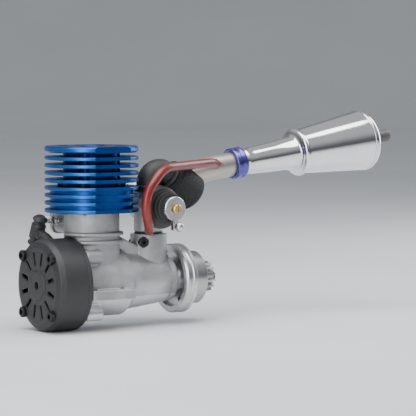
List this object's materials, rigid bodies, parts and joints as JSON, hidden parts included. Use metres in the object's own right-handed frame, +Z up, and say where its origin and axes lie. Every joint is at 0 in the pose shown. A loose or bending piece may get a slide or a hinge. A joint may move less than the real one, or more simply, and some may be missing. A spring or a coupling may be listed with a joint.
{
  "type": "model glow engine",
  "caption": "Small two-stroke glow engine for a model car: finned cooling head, side carburettor, recoil starter, flywheel clutch and tuned exhaust.",
  "frame": {"origin": "Middle of the four mounting-lug holes, on the underside of the lugs, straight below the cylinder axis.", "axes": "+X runs along the crankshaft from the recoil starter to the clutch, +Y to the exhaust side, +Z up the cylinder. The crank axis is 7 mm above the origin."},
  "size_m": [0.2329, 0.0773, 0.1093],
  "materials": {
    "cast_aluminium": "bead-blasted casting",
    "turned_aluminium": "machined",
    "blue_anodised": "satin anodised, machined fins",
    "violet_anodised": "anodised ring",
    "bearing_steel": "ground",
    "polished_steel": "polished",
    "black_steel": "black oxide",
    "plain_steel": "turned",
    "brass": "turned",
    "copper": "soft copper",
    "bronze": "forged and machined",
    "black_plastic": "moulded, fine texture",
    "nylon": "natural nylon",
    "black_rubber": "moulded",
    "red_silicone": "silicone tube",
    "foam": "open-cell foam, oiled",
    "cord": "braided cord",
    "chrome": "polished"
  },
  "bodies": {
    "engine": {"crankcase": "cast_aluminium", "front_bearing_outer": "bearing_steel", "rear_bearing_outer": "bearing_steel", "cylinder_sleeve": "brass", "head_shim": "copper", "head_button": "turned_aluminium", "cooling_head": "blue_anodised", "head_bolts": "black_steel", "glow_plug": "polished_steel", "glow_plug_washer": "copper", "backplate": "black_plastic", "backplate_seal": "black_rubber", "carburettor_body": "turned_aluminium", "carburettor_seal": "black_rubber", "carburettor_bolt": "black_steel", "fuel_inlet": "brass", "needle_housing": "brass", "throttle_boot": "black_rubber", "starter_housing": "black_plastic", "starter_screws": "black_steel", "recoil_spring": "bearing_steel", "exhaust_header": "cast_aluminium", "header_springs": "polished_steel", "pipe_joint": "violet_anodised", "tuned_pipe": "chrome", "tail_cap": "chrome", "pressure_nipple": "brass", "pressure_hose": "red_silicone", "filter_boot": "black_rubber", "filter_foam": "foam"},
    "crank": {"crankshaft": "plain_steel", "front_bearing_inner": "bearing_steel", "rear_bearing_inner": "bearing_steel", "flywheel_collet": "brass", "flywheel": "turned_aluminium", "clutch_nut": "plain_steel", "clutch_springs": "plain_steel", "bell_bearing_inners": "bearing_steel", "bell_screw": "black_steel"},
    "front_balls": {"front_bearing_balls": "polished_steel"},
    "rear_balls": {"rear_bearing_balls": "polished_steel"},
    "starter_drive": {"starter_shaft": "plain_steel"},
    "shoe_1": {"clutch_shoe_1": "black_plastic"},
    "shoe_2": {"clutch_shoe_2": "black_plastic"},
    "shoe_3": {"clutch_shoe_3": "black_plastic"},
    "bell": {"clutch_bell": "plain_steel", "bell_bearing_outers": "bearing_steel"},
    "piston_set": {"piston": "turned_aluminium", "wrist_pin": "polished_steel", "wrist_pin_clips": "plain_steel"},
    "rod": {"conrod": "bronze", "crankpin": "polished_steel"},
    "slide": {"throttle_slide": "plain_steel"},
    "slow_needle": {"low_speed_needle": "brass"},
    "needle": {"main_needle": "plain_steel"},
    "idle": {"idle_screw": "plain_steel"},
    "reel": {"starter_reel": "nylon", "one_way_bearing": "bearing_steel", "starter_cord": "cord"},
    "handle": {"starter_handle": "black_plastic"}
  },
  "joints": [
    {"name": "crank_spin", "type": "hinge", "parent": "engine", "child": "crank", "pos_m": [0.02, 0, 0.007], "axis": [1, 0, 0], "continuous": true},
    {"name": "front_balls_roll", "type": "hinge", "parent": "engine", "child": "front_balls", "pos_m": [0.0425, 0, 0.007], "axis": [1, 0, 0], "continuous": true},
    {"name": "rear_balls_roll", "type": "hinge", "parent": "engine", "child": "rear_balls", "pos_m": [0.0125, 0, 0.007], "axis": [1, 0, 0], "continuous": true},
    {"name": "starter_drive_spin", "type": "hinge", "parent": "engine", "child": "starter_drive", "pos_m": [-0.015, 0, 0.007], "axis": [1, 0, 0], "continuous": true},
    {"name": "bell_spin", "type": "hinge", "parent": "crank", "child": "bell", "pos_m": [0.062, 0, 0.007], "axis": [1, 0, 0], "continuous": true},
    {"name": "shoe_1_swing", "type": "hinge", "parent": "crank", "child": "shoe_1", "pos_m": [0.056, 0, 0.0163], "axis": [-1, 0, 0], "range_deg": [0, 1.8], "stiffness_Nm_per_rad": 0.8, "springref_deg": -1.72},
    {"name": "shoe_2_swing", "type": "hinge", "parent": "crank", "child": "shoe_2", "pos_m": [0.056, -0.00805, 0.00235], "axis": [-1, 0, 0], "range_deg": [0, 1.8], "stiffness_Nm_per_rad": 0.8, "springref_deg": -1.72},
    {"name": "shoe_3_swing", "type": "hinge", "parent": "crank", "child": "shoe_3", "pos_m": [0.056, 0.00805, 0.00235], "axis": [-1, 0, 0], "range_deg": [0, 1.8], "stiffness_Nm_per_rad": 0.8, "springref_deg": -1.72},
    {"name": "piston_stroke", "type": "slide", "parent": "engine", "child": "piston_set", "axis": [0, 0, -1], "range_m": [0, 0.0166]},
    {"name": "rod_swing", "type": "hinge", "parent": "piston_set", "child": "rod", "pos_m": [0, 0, 0.0443], "axis": [1, 0, 0], "range_deg": [-12, 12]},
    {"name": "throttle", "type": "slide", "parent": "engine", "child": "slide", "axis": [0, -1, 0], "range_m": [0, 0.0075], "deforming": ["throttle_boot"]},
    {"name": "slow_needle_turn", "type": "hinge", "parent": "slide", "child": "slow_needle", "pos_m": [0.034, -0.026, 0.045], "axis": [0, -1, 0], "range_deg": [-720, 720]},
    {"name": "main_needle_turn", "type": "hinge", "parent": "engine", "child": "needle", "pos_m": [0.034, 0.018, 0.045], "axis": [0, 1, 0], "range_deg": [-180, 1080]},
    {"name": "idle_screw_turn", "type": "hinge", "parent": "engine", "child": "idle", "pos_m": [0.046, -0.004, 0.045], "axis": [1, 0, 0], "range_deg": [-360, 360]},
    {"name": "handle_pull", "type": "slide", "parent": "engine", "child": "handle", "axis": [0, 0.9063, 0.4226], "range_m": [0, 0.3], "stiffness_N_per_m": 15, "springref_m": -0.2},
    {"name": "reel_spin", "type": "hinge", "parent": "engine", "child": "reel", "pos_m": [-0.02, 0, 0.007], "axis": [-1, 0, 0], "range_deg": [0, 1190]}
  ],
  "couplings": [
    {"joint": "front_balls_roll", "follows": "crank_spin", "ratio": 0.37692},
    {"joint": "rear_balls_roll", "follows": "crank_spin", "ratio": 0.41327},
    {"joint": "starter_drive_spin", "follows": "crank_spin", "ratio": 1},
    {"joint": "shoe_2_swing", "follows": "shoe_1_swing", "ratio": 1},
    {"joint": "shoe_3_swing", "follows": "shoe_1_swing", "ratio": 1},
    {"joint": "reel_spin", "follows": "handle_pull", "rad_per_m": 68.966}
  ]
}
